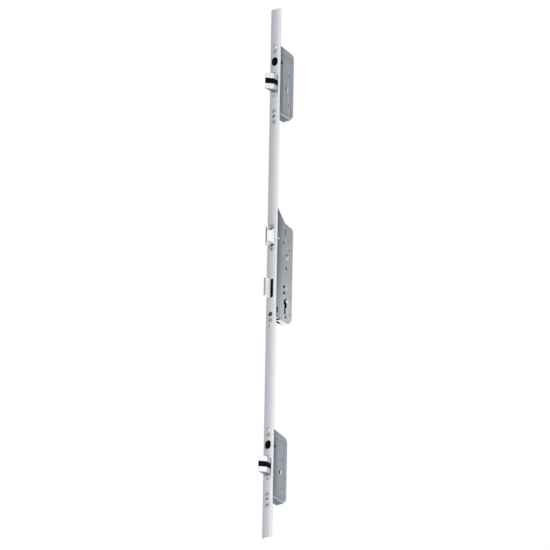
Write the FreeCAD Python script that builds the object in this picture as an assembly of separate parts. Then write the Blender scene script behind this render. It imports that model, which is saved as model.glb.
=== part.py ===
"""Multipoint door lock: a long U-shaped faceplate rail that carries a central lock case and two side cases.

Frame: X across the faceplate, Y into the door, Z up. The origin is on the follower's axis, on the
centre plane of the cases. All bolts are thrown, as they are in a locked door. Millimetres.
"""
import FreeCAD, Part
import math
import os

V = FreeCAD.Vector

# Faceplate rail
backset = 40.0
rail_width = 20.0
rail_depth = 5.0
rail_wall = 1.5
rail_bend = 1.3
rail_top = 490.0
rail_bottom = -575.0

# Cases
case_width = 16.5
case_wall = 1.25
case_depth = 58.0
wall_setback = 10.0
emboss_depth = 0.35
emboss_line = 0.9
emboss_margin = 8.5

# Main case
main_front_top = 92.0
main_shoulder_y = -8.0
main_shoulder_z = 66.8
main_back_top = 62.5
main_bottom = -130.5
main_bottom_rise = 1.8
main_corner = 7.0
main_corner_cut = 9.0

# Side cases, measured from their bolt's centre
side_unit_pitch = 773.5
upper_bolt_z = 338.0
side_case_depth = 51.0
side_top = 79.8
side_shoulder_drop = 6.7
side_shoulder_y = 1.1
side_corner = 9.0
side_bottom = -60.0
side_bottom_rise = 1.6
side_cut_y = 9.2
side_cut_z = 9.9

# Drive: rods and plates that slide up and down behind the faceplate
stroke = 22.0
rod_width = 10.0
rod_thickness = 2.2
rod_gap = 0.8
drive_plate = 1.5
side_play = 0.2
foot_thickness = 1.5
foot_height = 5.8
plate_shoulder_z = 43.0
arm_foot_rise = 9.0
arm_bend_drop = 10.0
arm_low_rise = 4.0
rivet_radius = 1.3
rivet_spacing = 5.2

# Bolts
bolt_left = 5.1
bolt_right = 6.7
bolt_nose = 0.8
latch_nose = 2.9
window_play = 0.6
side_window_play = 1.1
latch_window_play = 0.55
window_corner = 1.6
side_bolt_height = 31.6
side_bolt_rise = 1.6
guide_height = 3.6
guide_play = 0.2
guide_rod_gap = 0.6
side_bolt_throw = 22.5
side_bolt_tail = 24.0
side_bolt_bevel = 0.8
insert_height = 11.0
insert_depth = 24.0
insert_proud = 0.3
latch_height = 36.0
latch_centre = 29.5
latch_throw = 12.5
latch_head_tail = 10.0
latch_notch_radius = 5.0
latch_notch_inset = 1.0
deadbolt_height = 36.0
deadbolt_centre = -73.5
deadbolt_thickness = 6.0
deadbolt_throw = 14.0
deadbolt_travel = 13.8
deadbolt_tail = 16.5
deadbolt_window_right = 5.5
deadbolt_corner = 1.0
cam_pin_radius = 2.0
cam_play = 0.1
side_pin_y = 7.0
deadbolt_pin_y = 11.0

# Latch and follower
square_side = 10.1
journal_radius = 8.0
journal_play = 0.05
journal_proud = 0.3
hub_radius = 10.0
hub_half = 6.6
arm_half = 2.5
arm_reach = 19.0
arm_gap = 0.6
tail_thickness = 3.0
tail_low = 20.0
tail_high = 35.0
tail_lug = 1.4
tail_lug_low = 11.5
latch_spring_z = 42.0
latch_spring_radius = 3.6
latch_seat_y = -6.0
latch_seat_thickness = 3.0
latch_seat_height = 8.5
handle_hole_z = -21.5
handle_hole_radius = 3.75

# Key gear and cylinder cut-out
cylinder_z = -92.0
cylinder_radius = 8.75
cylinder_slot = 10.5
cylinder_height = 33.5
lip_depth = 4.0
lip_thickness = 1.0
collar_depth = 2.0
gear_z = -62.0
gear_module = 1.0
gear_teeth = 20
gear_hub_radius = 6.0
gear_axle_radius = 3.0
gear_play = 0.05
gear_backlash = 0.24
rack_top = -54.0
rack_bottom = -94.0

# Triggers and release levers, measured from the side bolt's centre
trigger_z = 46.2
trigger_hole = 6.5
trigger_collar = 6.4
trigger_radius = 5.0
trigger_rise = 2.1
trigger_play = 0.15
trigger_proud = 2.3
trigger_head = 2.0
trigger_dome = 1.2
trigger_stem = 2.5
trigger_guide_half = 9.5
trigger_seat_y = 11.5
trigger_seat_thickness = 1.5
stem_end_y = 16.4
lever_pin_y = -20.0
lever_pin_z = 30.2
lever_pin_radius = 2.0
lever_hub_radius = 4.0
lever_half = 2.5
lever_gap = 0.2
lever_bar = 3.0
lever_nose_gap = 0.6

# Fasteners and holes in the faceplate
screw_head_radius = 3.8
screw_radius = 2.1
screw_length = 9.6
screw_rim_gap = 0.5
recess_radius = 2.1
recess_depth = 1.3
fixing_radius = 2.3
fixing_sink = 3.4
wide_hole_radius = 2.75
wide_hole_sink = 4.7
lug_half = 4.0
lug_depth = 8.5
clip_half = 5.0
clip_depth = 5.0
post_rivet_radius = 1.8
post_rim = 0.5
post_bore_depth = 4.0
rivet_proud = 0.45
side_screw_offsets = (66.6, -53.6, -75.5)
side_hole_offsets = (76.6, -64.3)
side_pin_offset = 23.0
side_pin_radius = 1.6
side_pin_gap = 0.5
main_screws = (52.6, 5.5)
lower_screw = -137.5
wide_hole_z = -125.4
small_hole_z = -149.4
upper_clip_drops = (140.0, 205.0)
lower_clip_drops = (75.0, 150.0)

# Posts and plate holes of the cases: distance from the case's back, height, radius. The clip, the
# cover's rivet and the slots near the front are measured from the faceplate's front
side_posts = ((16.4, 26.8, 2.0), (16.4, -31.7, 2.0), (8.0, 58.0, 2.6), (8.0, -47.5, 2.2))
side_hole = (6.1, -7.8, 1.25)
clip_hole = (11.0, 45.4, 2.2)
clip_play = 0.1
clip_thickness = 1.6
clip_half_height = 3.0
side_square = (21.9, -1.2)
side_square_size = (4.0, 7.0)
side_groove_depths = (8.5, 13.5)
side_groove_heights = (-38.0, 64.0)
main_posts = ((22.2, 58.4, 2.6), (5.2, 45.0, 2.6), (4.8, -35.0, 2.6), (4.8, -76.0, 2.6),
              (42.6, -124.2, 1.6))
main_holes = ((27.5, 27.1, 3.0), (13.4, 33.6, 1.5), (10.0, 16.3, 1.5), (19.4, -120.6, 2.1),
              (3.8, -111.1, 1.6))
main_squares = ((25.4, -61.3), (25.4, -73.4))
main_square_side = 5.2
cover_rivet_place = (11.0, 29.2)
cover_rivet_radius = 2.0
back_slot = (24.6, 44.4, 54.4)
back_slot_radius = 1.0
front_slot = (9.8, -117.4, -111.8)
front_slot_radius = 2.2
top_notch = (13.1, 64.4)
top_notch_size = (3.4, 3.6)
cross_slot = ((-2.0, 6.4), (18.4, 22.8))
long_slot = ((-6.9, -3.4), (29.0, 38.0))

# Bridge that joins the two drive plates
bridge_low = -45.0
bridge_high = -35.0
bridge_depth = 9.0

# Places worked out from the driving sizes
face_y = -backset
web_back = face_y + rail_wall
flange_edge = face_y + rail_depth
case_half = case_width / 2
case_inner = case_half - case_wall
main_back = face_y + case_depth
side_back = face_y + side_case_depth
wall_front = face_y + wall_setback
rod_front = web_back + rod_gap
rod_back = rod_front + rod_thickness
foot_back = rod_back + foot_thickness
plate_outer = case_inner - side_play
plate_inner = plate_outer - drive_plate
plate_front = foot_back + 1.0
side_pin_place = face_y + side_pin_y
deadbolt_pin_place = face_y + deadbolt_pin_y
deadbolt_left = -plate_outer
deadbolt_right = deadbolt_left + deadbolt_thickness
lower_bolt_z = upper_bolt_z - side_unit_pitch
cam_slot_radius = cam_pin_radius + cam_play
side_units = (("upper", upper_bolt_z), ("lower", lower_bolt_z))

pieces = {}


def block(x, y, z):
    """Box between the low and high values of each axis."""
    size = (x[1] - x[0], y[1] - y[0], z[1] - z[0])
    return Part.makeBox(*size, V(x[0], y[0], z[0]))


def bar_x(y, z, radius, low, high):
    return Part.makeCylinder(radius, high - low, V(low, y, z), V(1, 0, 0))


def bar_y(x, z, radius, low, high):
    return Part.makeCylinder(radius, high - low, V(x, low, z), V(0, 1, 0))


def plate_x(points, low, high):
    """Flat plate across X from its (y, z) corners; a third number rounds that corner."""
    face = Part.Face(rounded_wire(points))
    face.translate(V(low, 0, 0))
    return face.extrude(V(high - low, 0, 0))


def plate_z(points, low, high):
    """Block along Z from its (x, y) corners."""
    corners = [V(x, y, low) for x, y in points]
    wire = Part.makePolygon(corners + corners[:1])
    return Part.Face(wire).extrude(V(0, 0, high - low))


def rounded_wire(points):
    """Closed wire in the plane X = 0, with a tangent arc at each corner that has a radius."""
    count = len(points)
    stations = []
    for index, point in enumerate(points):
        here = V(0, point[0], point[1])
        radius = point[2] if len(point) > 2 else 0
        before = V(0, points[index - 1][0], points[index - 1][1]) - here
        after = V(0, points[(index + 1) % count][0], points[(index + 1) % count][1]) - here
        if radius == 0:
            stations.append((here, None, here))
            continue
        half_turn = before.getAngle(after) / 2
        before.normalize()
        after.normalize()
        reach = radius / math.tan(half_turn)
        middle = before + after
        middle.normalize()
        apex = here + middle * (radius / math.sin(half_turn) - radius)
        stations.append((here + before * reach, apex, here + after * reach))
    edges = []
    for index, (start, apex, end) in enumerate(stations):
        if apex:
            edges.append(Part.Arc(start, apex, end).toShape())
        next_start = stations[(index + 1) % count][0]
        if (next_start - end).Length > 1e-6:
            edges.append(Part.LineSegment(end, next_start).toShape())
    return Part.Wire(edges)


def oblong_x(start, end, radius, low, high):
    """Slot across X between two (y, z) centres."""
    along = V(0, end[0] - start[0], end[1] - start[1])
    side = V(0, -along.z, along.y)
    side.normalize()
    side = side * radius
    a = V(low, *start)
    b = V(low, *end)
    wire = Part.makePolygon([a + side, b + side, b - side, a - side, a + side])
    middle = Part.Face(wire).extrude(V(high - low, 0, 0))
    ends = [bar_x(place[0], place[1], radius, low, high) for place in (start, end)]
    return middle.fuse(ends).removeSplitter()


def oblong_y(x, z_low, z_high, radius, low, high):
    """Slot through the faceplate or a rod, upright, between two end centres."""
    middle = block((x - radius, x + radius), (low, high), (z_low, z_high))
    ends = [bar_y(x, z, radius, low, high) for z in (z_low, z_high)]
    return middle.fuse(ends).removeSplitter()


def window(x, z, corner, low, high):
    """Rectangular opening through the faceplate with round corners."""
    body = block(x, (low, high), z)
    upright = [e for e in body.Edges if abs(e.Vertexes[0].Y - e.Vertexes[1].Y) > 1e-6]
    return body.makeFillet(corner, upright)


def trigger_bar(z, radius, low, high):
    """Upright oblong of the trigger and of all that fits around it."""
    return oblong_y(0, z - trigger_rise, z + trigger_rise, radius, low, high)


def sink(z, hole_radius, sink_radius):
    """Countersunk hole through the faceplate's web."""
    hole = bar_y(0, z, hole_radius, face_y - 1, web_back + 1)
    depth = sink_radius - hole_radius
    cone = Part.makeCone(sink_radius + 1, hole_radius, depth + 1, V(0, face_y - 1, z), V(0, 1, 0))
    return hole.fuse(cone)


def all_screws():
    places = [z + offset for _, z in side_units for offset in side_screw_offsets]
    return places + list(main_screws) + [lower_screw]


def side_window(z):
    half = side_bolt_height / 2 + side_window_play
    across = (-bolt_left - side_window_play, bolt_right + side_window_play)
    return window(across, (z - half, z + half), window_corner, face_y - 1, web_back + 1)


def make_rail():
    """Faceplate rail folded to a U, with every opening that the bolts, triggers and screws need."""
    half = rail_width / 2
    body = block((-half, half), (face_y, flange_edge), (rail_bottom, rail_top))
    bends = [e for e in body.Edges if abs(e.Vertexes[0].Z - e.Vertexes[1].Z) > 1
             and abs(e.Vertexes[0].Y - face_y) < 1e-6]
    body = body.makeFillet(rail_bend, bends)
    inner = half - rail_wall
    cuts = [block((-inner, inner), (web_back, flange_edge + 1), (rail_bottom - 1, rail_top + 1))]
    for _, z in side_units:
        cuts.append(side_window(z + side_bolt_rise))
        cuts.append(trigger_bar(z + trigger_z, trigger_hole, face_y - 1, web_back + 1))
        for offset in side_hole_offsets:
            cuts.append(sink(z + offset, fixing_radius, fixing_sink))
        for side in (-1, 1):
            cuts.append(bar_y(0, z + side * side_pin_offset, side_pin_radius, face_y - 1, web_back + 1))
    half_latch = latch_height / 2 + latch_window_play
    across = (-bolt_left - latch_window_play, bolt_right + latch_window_play)
    cuts.append(window(across, (latch_centre - half_latch, latch_centre + half_latch),
                       window_corner, face_y - 1, web_back + 1))
    half_dead = deadbolt_height / 2 + window_play
    across = (deadbolt_left - window_play, deadbolt_window_right)
    cuts.append(window(across, (deadbolt_centre - half_dead, deadbolt_centre + half_dead),
                       window_corner, face_y - 1, web_back + 1))
    cuts.append(sink(wide_hole_z, wide_hole_radius, wide_hole_sink))
    cuts.append(sink(small_hole_z, fixing_radius, fixing_radius + 0.5))
    for z in all_screws():
        cuts.append(sink(z, screw_head_radius - rail_wall, screw_head_radius))
    pieces["faceplate_rail"] = body.cut(cuts)


def make_screw(z):
    """Countersunk machine screw with a hexagon recess and a short upright rim."""
    neck = screw_head_radius - rail_wall
    rim = screw_head_radius - screw_rim_gap
    seat_y = face_y + screw_rim_gap
    head = bar_y(0, z, rim, face_y, seat_y)
    head = head.fuse(Part.makeCone(rim, neck, web_back - seat_y, V(0, seat_y, z), V(0, 1, 0)))
    shank = bar_y(0, z, screw_radius, web_back, face_y + screw_length)
    corners = []
    for step in range(7):
        turn = math.radians(60 * step)
        corners.append(V(recess_radius * math.cos(turn), face_y - 0.1, z + recess_radius * math.sin(turn)))
    recess = Part.Face(Part.makePolygon(corners)).extrude(V(0, recess_depth + 0.1, 0))
    return head.fuse(shank).cut(recess).removeSplitter()


def make_fasteners():
    """Screws, the threaded lugs behind them and the small pins beside the side bolts."""
    pieces["faceplate_screws"] = Part.makeCompound([make_screw(z) for z in all_screws()])
    pins = []
    lugs = []
    for _, z in side_units:
        for side in (-1, 1):
            reach = (face_y - 0.15, rod_front - side_pin_gap)
            pins.append(bar_y(0, z + side * side_pin_offset, side_pin_radius, *reach))
        top = z + side_screw_offsets[0]
        lugs.append(make_lug(top - lug_half, top + lug_half, -plate_inner + 2 * side_play, web_back))
        low = z + side_bottom + side_bottom_rise + case_wall
        bottom = z + side_screw_offsets[1]
        lugs.append(make_lug(low, bottom + lug_half - 0.5, -case_inner, rod_back + 0.3))
    for z in main_screws:
        lugs.append(make_lug(z - lug_half, z + lug_half - 0.3, -plate_inner + 2 * side_play, web_back))
    drills = [bar_y(0, z, screw_radius, face_y, 0) for z in all_screws()]
    pieces["window_pins"] = Part.makeCompound(pins)
    pieces["threaded_lugs"] = Part.makeCompound([lug.cut(drills) for lug in lugs])
    clips = []
    inner = rail_width / 2 - rail_wall
    screwed = [upper_bolt_z + side_screw_offsets[2], lower_bolt_z + side_screw_offsets[2], lower_screw]
    between = [upper_bolt_z - drop for drop in upper_clip_drops]
    between = between + [lower_screw - drop for drop in lower_clip_drops]
    for z in screwed + between:
        clip = block((-inner, inner), (web_back, web_back + clip_depth), (z - clip_half, z + clip_half))
        channel = block((-rod_width / 2 - side_play, rod_width / 2 + side_play),
                        (rod_front - 0.3, rod_back + 0.3), (z - clip_half - 1, z + clip_half + 1))
        clips.append(clip.cut([channel] + drills))
    pieces["rod_guide_clips"] = Part.makeCompound(clips)


def make_lug(z_low, z_high, x_low, y_low):
    return block((x_low, case_inner), (y_low, web_back + lug_depth), (z_low, z_high))


def side_outline(z):
    top_back = z + side_top - side_shoulder_drop
    bottom = z + side_bottom
    return [(web_back, bottom + side_bottom_rise), (side_back - side_cut_y, bottom),
            (side_back, bottom + side_cut_z, 2),
            (side_back, top_back, side_corner), (side_shoulder_y, top_back + 1), (web_back, z + side_top)]


def main_outline():
    low_back = main_back - main_corner_cut
    return [(web_back, main_bottom + main_bottom_rise), (low_back, main_bottom, 2),
            (main_back, main_bottom + main_corner_cut, 2),
            (main_back, main_back_top, main_corner), (main_shoulder_y, main_shoulder_z),
            (flange_edge, main_front_top), (web_back, main_front_top)]


def make_tray(outline):
    """Far plate with its folded walls, open towards the faceplate."""
    body = plate_x(outline, -case_half, case_inner)
    inside = Part.Face(rounded_wire(outline)).makeOffset2D(-case_wall, 0, False, False, True)
    inside.translate(V(-case_inner, 0, 0))
    hollow = inside.extrude(V(2 * case_inner + 1, 0, 0))
    heights = [point[1] for point in outline]
    mouth = block((-case_inner, case_inner + 1), (web_back - 1, wall_front),
                  (min(heights) - 1, max(heights) + 1))
    return body.cut([hollow, mouth])


def rivet_radius_of(radius):
    return min(post_rivet_radius, radius - 0.4)


def post_rivets(places, proud):
    reach = case_half + proud
    return [bar_x(y, z, rivet_radius_of(radius), -reach, reach) for y, z, radius in places]


def make_posts(places):
    """Spacer posts between a case's plates, riveted at both ends, with bores in their ends."""
    posts = []
    end = case_half + rivet_proud
    for (y, z, radius), rivet in zip(places, post_rivets(places, rivet_proud)):
        post = bar_x(y, z, radius, -case_inner, case_inner).fuse(rivet)
        bore = rivet_radius_of(radius) - post_rim
        ends = [bar_x(y, z, bore, end - post_bore_depth, end + 1),
                bar_x(y, z, bore, -end - 1, post_bore_depth - end)]
        posts.append(post.cut(ends))
    return Part.makeCompound(posts)


def from_back(places, back, z):
    """Places given from a case's back and a height, as (y, z, radius)."""
    return [(back - inset, z + height, radius) for inset, height, radius in places]


def through_holes(places, back, z, across):
    return [bar_x(y, height, radius, *across) for y, height, radius in from_back(places, back, z)]


def clip_place(z):
    return face_y + clip_hole[0], z + clip_hole[1], clip_hole[2]


def square_hole(place, size, back, z, across):
    y = back - place[0]
    middle = z + place[1]
    return block(across, (y - size[0] / 2, y + size[0] / 2), (middle - size[1] / 2, middle + size[1] / 2))


def emboss(outline, margin):
    """Thin groove on the near plate that follows a rectangle set in from the case's edges."""
    ys = [point[0] for point in outline]
    zs = [point[1] for point in outline]
    y = (wall_front + margin / 2, max(ys) - margin)
    z = (min(zs) + margin, max(zs) - 2 * margin)
    x = (case_half - emboss_depth, case_half + 1)
    outer = block(x, y, z)
    inner = block(x, (y[0] + emboss_line, y[1] - emboss_line), (z[0] + emboss_line, z[1] - emboss_line))
    return outer.cut(inner)


def make_side_case(name, z):
    outline = side_outline(z)
    posts = from_back(side_posts, side_back, z)
    pin = bar_x(lever_pin_y, z + lever_pin_z, lever_pin_radius, -case_half, case_half)
    drills = post_rivets(posts, 1) + [pin]
    tray = make_tray(outline)
    cover = plate_x(outline, case_inner, case_half)
    near = (case_inner - 1, case_half + 1)
    holes = through_holes([side_hole], side_back, z, near) + [bar_x(*clip_place(z), *near)]
    holes.append(square_hole(side_square, side_square_size, side_back, z, near))
    holes.append(emboss(outline, emboss_margin))
    low, high = side_groove_heights
    for depth in side_groove_depths:
        groove = (face_y + depth, face_y + depth + emboss_line)
        holes.append(block((case_half - emboss_depth, case_half + 1), groove, (z + low, z + high)))
    pieces[name + "_case_tray"] = tray.cut(drills)
    pieces[name + "_case_cover"] = cover.cut(drills + holes)
    pieces[name + "_case_posts"] = make_posts(posts)
    pieces[name + "_lever_pin"] = pin


def cylinder_hole(margin, low, high):
    """The key cylinder's outline, or that outline grown by a margin."""
    round_part = bar_x(0, cylinder_z, cylinder_radius + margin, low, high)
    low_centre = cylinder_z + cylinder_radius - cylinder_height + cylinder_slot / 2
    slot = oblong_x((0, low_centre), (0, cylinder_z), cylinder_slot / 2 + margin, low, high)
    return round_part.fuse(slot)


def guide_lip():
    """Lip that is pressed inwards along the back edge of the cylinder cut-out."""
    reach = (case_inner - lip_depth, case_inner)
    lip = cylinder_hole(lip_thickness, *reach).cut(cylinder_hole(0, *reach))
    bottom = cylinder_z + cylinder_radius - cylinder_height
    front = cylinder_slot / 2 - lip_thickness
    return lip.common(block(reach, (front, main_back), (bottom, cylinder_z + cylinder_radius)))


def collar(y, z, radius):
    """Rim that is pressed inwards around a round hole of the main case's cover."""
    reach = (case_inner - collar_depth, case_inner)
    return bar_x(y, z, radius + lip_thickness, *reach).cut(bar_x(y, z, radius, *reach))


def make_main_case():
    outline = main_outline()
    reach = case_half + 1
    posts = from_back(main_posts, main_back, 0)
    handle_hole = (0, handle_hole_z, handle_hole_radius)
    through = post_rivets(posts, 1) + [
        bar_x(0, 0, journal_radius + journal_play, -reach, reach),
        bar_x(*handle_hole, -reach, reach),
        cylinder_hole(0, -reach, reach),
        bar_x(0, gear_z, gear_axle_radius, -reach, reach),
    ]
    near = (case_inner - 1, case_half + 1)
    holes = through_holes(main_holes, main_back, 0, near)
    for place in main_squares:
        holes.append(square_hole(place, (main_square_side, main_square_side), main_back, 0, near))
    for y, slot, radius in ((main_back - back_slot[0], back_slot, back_slot_radius),
                            (face_y + front_slot[0], front_slot, front_slot_radius)):
        holes.append(oblong_x((y, slot[1]), (y, slot[2]), radius, *near))
    rivet = (face_y + cover_rivet_place[0], cover_rivet_place[1], cover_rivet_radius)
    holes.append(bar_x(*rivet, *near))
    holes.append(square_hole(top_notch, top_notch_size, main_back, 0, near))
    floor = (main_bottom - 1, main_bottom + main_bottom_rise + case_wall + 1)
    slots = [block(x, (face_y + y[0], face_y + y[1]), floor) for x, y in (cross_slot, long_slot)]
    pieces["main_case_tray"] = make_tray(outline).cut(through + slots)
    pressed = [collar(*place) for place in [handle_hole] + from_back(main_holes, main_back, 0)[:1]]
    cover = plate_x(outline, case_inner, case_half).fuse([guide_lip()] + pressed).removeSplitter()
    pieces["main_case_cover"] = cover.cut(through + holes)
    pieces["main_case_posts"] = make_posts(posts)
    pieces["cover_rivet"] = bar_x(*rivet, case_inner, case_half + rivet_proud)
    pieces["key_gear_axle"] = bar_x(0, gear_z, gear_axle_radius, -case_half, case_half)


def slanted_bolt(z_low, z_high, throw, tail, nose):
    """Bolt whose nose slopes back at 45 degrees towards +X."""
    tip = face_y - throw
    run = bolt_right + bolt_left - nose
    corners = [(-bolt_left, tip), (-bolt_left + nose, tip), (bolt_right, tip + run),
               (bolt_right, face_y + tail), (-bolt_left, face_y + tail)]
    return plate_z(corners, z_low, z_high)


def make_side_bolt(name, z):
    """Steel bolt with a plastic middle layer and the pin that its cam plate drives."""
    half = side_bolt_height / 2
    body = slanted_bolt(z - half, z + half, side_bolt_throw, side_bolt_tail, bolt_nose)
    for side in (-1, 1):
        edge_z = z + side * half
        wedge = [(face_y - side_bolt_throw - 1, edge_z - side * side_bolt_bevel * 1.5),
                 (face_y - side_bolt_throw - 1, edge_z + side),
                 (face_y - side_bolt_throw + 2 * side_bolt_bevel, edge_z + side),
                 (face_y - side_bolt_throw + 2 * side_bolt_bevel, edge_z)]
        body = body.cut(plate_x(wedge, -bolt_left - 1, bolt_right + 1))
    layer = (z - insert_height / 2, z + insert_height / 2)
    reach = face_y - side_bolt_throw + insert_depth
    groove = block((-bolt_left - 1, bolt_right + 1), (face_y - side_bolt_throw - 1, reach), layer)
    insert = slanted_bolt(layer[0], layer[1], side_bolt_throw + insert_proud, side_bolt_tail, bolt_nose)
    front = block((-bolt_left - 1, bolt_right + 1), (face_y - side_bolt_throw - 2, reach), layer)
    socket = bar_x(side_pin_place, z, cam_pin_radius, -bolt_left, -bolt_left + 4)
    pieces[name + "_bolt"] = body.cut([groove, socket])
    pieces[name + "_bolt_insert"] = insert.common(front)
    pin_reach = (-plate_outer + 0.1, -bolt_left + 4)
    pieces[name + "_bolt_cam_pin"] = bar_x(side_pin_place, z, cam_pin_radius, *pin_reach)


def make_bolt_guide(name, z):
    """Plastic runners above and below the side bolt."""
    half = side_bolt_height / 2 + guide_play
    y = (web_back, web_back + 7.5)
    x = (-bolt_left + side_play, case_inner)
    low = block(x, y, (z - half - guide_height, z - half))
    high = block(x, y, (z + half, z + half + guide_height))
    pieces[name + "_bolt_guide"] = Part.makeCompound([low, high])


def cam_plate_body(z):
    """Plate beside the side bolt with the slanted slot that draws the bolt in."""
    margin = cam_slot_radius + 1.7
    top = z + margin + 0.8
    corners = [(side_pin_place - margin, z - stroke - 2), (side_pin_place - margin, top),
               (side_pin_place + margin + 2, top), (side_pin_place + stroke + margin, z - stroke + margin, 2),
               (side_pin_place + stroke + margin, z - stroke - margin, 2),
               (side_pin_place + 4, z - stroke - margin)]
    slot = oblong_x((side_pin_place, z), (side_pin_place + stroke, z - stroke), cam_slot_radius,
                    -plate_outer - 1, -plate_inner + 1)
    return plate_x(corners, -plate_outer, -plate_inner).cut(slot)


def foot_rivets(z):
    reach = (rod_front - 0.3, foot_back + 0.4)
    return [bar_y(side * rivet_spacing / 2, z, rivet_radius, *reach) for side in (-1, 1)]


def rod_piece(z_low, z_high, slot_low, slot_high):
    half = rod_width / 2
    rod = block((-half, half), (rod_front, rod_back), (z_low, z_high))
    radius = fixing_radius + 0.3
    slot = oblong_y(0, slot_low - stroke, slot_high, radius, rod_front - 1, rod_back + 1)
    return rod.cut(slot)


def make_drive():
    """Drive plates in the main case, the rods to the side cases and their cam plates."""
    half = rod_width / 2
    plate_top = main_screws[0] + lug_half + 0.3
    upper_foot = (plate_top, plate_top + foot_height + 2.5)
    foot_z = sum(upper_foot) / 2
    back = -14.0
    corners = [(rod_back, upper_foot[1]), (plate_front, upper_foot[1]),
               (plate_front + 2.5, upper_foot[1] - 6),
               (back, plate_shoulder_z), (back, bridge_low), (plate_front, bridge_low),
               (plate_front, upper_foot[0]), (rod_back, upper_foot[0])]
    upper = plate_x(corners, -plate_outer, -plate_inner)
    upper = upper.fuse(block((-plate_inner, half), (rod_back, foot_back), upper_foot)).removeSplitter()
    guide_bottom = upper_bolt_z - side_bolt_height / 2 - guide_play - guide_height
    tab_top = guide_bottom - guide_rod_gap - stroke - 0.5
    tab = (tab_top - foot_height, tab_top)
    tab_z = sum(tab) / 2
    slot_high = upper_bolt_z + side_screw_offsets[1]
    slot_low = upper_bolt_z + side_screw_offsets[2]
    upper_rod = rod_piece(upper_foot[0], tab[1], slot_low, slot_high)
    cam = cam_plate_body(upper_bolt_z + side_bolt_rise)
    margin = cam_slot_radius + 1.7
    leg = block((-plate_outer, -plate_inner), (side_pin_place - margin, side_pin_place + 4),
                (tab[0], upper_bolt_z - stroke))
    foot = block((-plate_outer, half), (rod_back, foot_back), tab)
    clear_rod = block((-half - side_play, half + 1), (face_y, rod_back), (tab[0] - 1, tab[1] + 1))
    upper_cam = cam.fuse([leg.cut(clear_rod), foot]).removeSplitter()

    lower_rod_top = deadbolt_centre - deadbolt_height / 2 - 3.3 - stroke
    lower_foot = (lower_rod_top - foot_height, lower_rod_top)
    lower_foot_z = sum(lower_foot) / 2
    rack_y = -gear_module * gear_teeth / 2
    slot = oblong_x((deadbolt_pin_place, deadbolt_centre),
                    (deadbolt_pin_place + deadbolt_travel, deadbolt_centre - stroke),
                    cam_slot_radius, plate_inner - 1, plate_outer + 1)
    across = (plate_inner, plate_outer)
    body = block(across, (plate_front, rack_y - 1.25 * gear_module), (lower_foot[0], bridge_high))
    body = body.fuse([rack_teeth(rack_y), block(across, (rod_back, plate_front), lower_foot),
                      block((-half, plate_inner), (rod_back, foot_back), lower_foot)])
    lower = body.removeSplitter().cut(slot)
    arm_foot_z = lower_bolt_z + side_top + arm_foot_rise
    arm_foot = (arm_foot_z - foot_height / 2, arm_foot_z + foot_height / 2)
    lower_rod = rod_piece(arm_foot[0], lower_rod_top, small_hole_z, wide_hole_z)
    guide_top = lower_bolt_z + trigger_z + trigger_guide_half
    arm_back = wall_front - 0.2
    arm_low = block((-plate_outer, -plate_inner), (arm_back - 3.0, arm_back),
                    (lower_bolt_z + arm_low_rise, guide_top + 3))
    arm_high = block((-plate_outer, -plate_inner), (web_back + 0.3, arm_back),
                     (guide_top + 0.5, lower_bolt_z + side_top - arm_bend_drop))
    arm_top = block((-plate_outer, -half - side_play), (web_back + 0.3, foot_back),
                    (lower_bolt_z + side_top - arm_bend_drop - 2, arm_foot[1]))
    arm_end = block((-plate_outer, half), (rod_back, foot_back), arm_foot)
    lower_cam = cam_plate_body(lower_bolt_z + side_bolt_rise)
    lower_cam = lower_cam.fuse([arm_low, arm_high, arm_top, arm_end]).removeSplitter()

    bridge = block((-plate_inner, plate_inner), (plate_front, plate_front + bridge_depth),
                   (bridge_low, bridge_high))
    bridge_z = (bridge_low + bridge_high) / 2
    cross = [bar_x(plate_front + y, bridge_z, rivet_radius, -plate_outer, plate_outer) for y in (2.5, 6.5)]
    rivets = [foot_rivets(z) for z in (foot_z, tab_z, lower_foot_z, arm_foot_z)]
    rivets = [rivet for pair in rivets for rivet in pair] + cross
    pieces["upper_drive_plate"] = upper.cut(rivets)
    pieces["lower_drive_plate"] = lower.cut(rivets)
    pieces["drive_bridge"] = bridge.cut(rivets)
    pieces["upper_rod"] = upper_rod.cut(rivets)
    pieces["lower_rod"] = lower_rod.cut(rivets)
    pieces["upper_cam_plate"] = upper_cam.cut(rivets)
    pieces["lower_cam_plate"] = lower_cam.cut(rivets)
    pieces["drive_rivets"] = Part.makeCompound(rivets)


def rack_teeth(pitch_y):
    """Rack teeth on the back edge, with a gap between two teeth level with the gear's axis."""
    pitch = math.pi * gear_module
    slope = math.tan(math.radians(20))
    half_pitch = pitch / 4 - gear_backlash / 4
    root = half_pitch + 1.25 * gear_module * slope
    tip = half_pitch - gear_module * slope
    low = pitch_y - 1.25 * gear_module
    shapes = []
    first = math.ceil((rack_bottom - gear_z) / pitch)
    last = math.floor((rack_top - gear_z) / pitch)
    for step in range(first, last):
        z = gear_z + pitch * (step + 0.5)
        corners = [(low - 0.4, z - root), (low, z - root), (pitch_y + gear_module, z - tip),
                   (pitch_y + gear_module, z + tip), (low, z + root), (low - 0.4, z + root)]
        shapes.append(plate_x(corners, plate_inner, plate_outer))
    return Part.makeCompound(shapes)


def involute_angle(radius, base):
    if radius <= base:
        return 0.0
    pressure = math.acos(base / radius)
    return math.tan(pressure) - pressure


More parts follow.
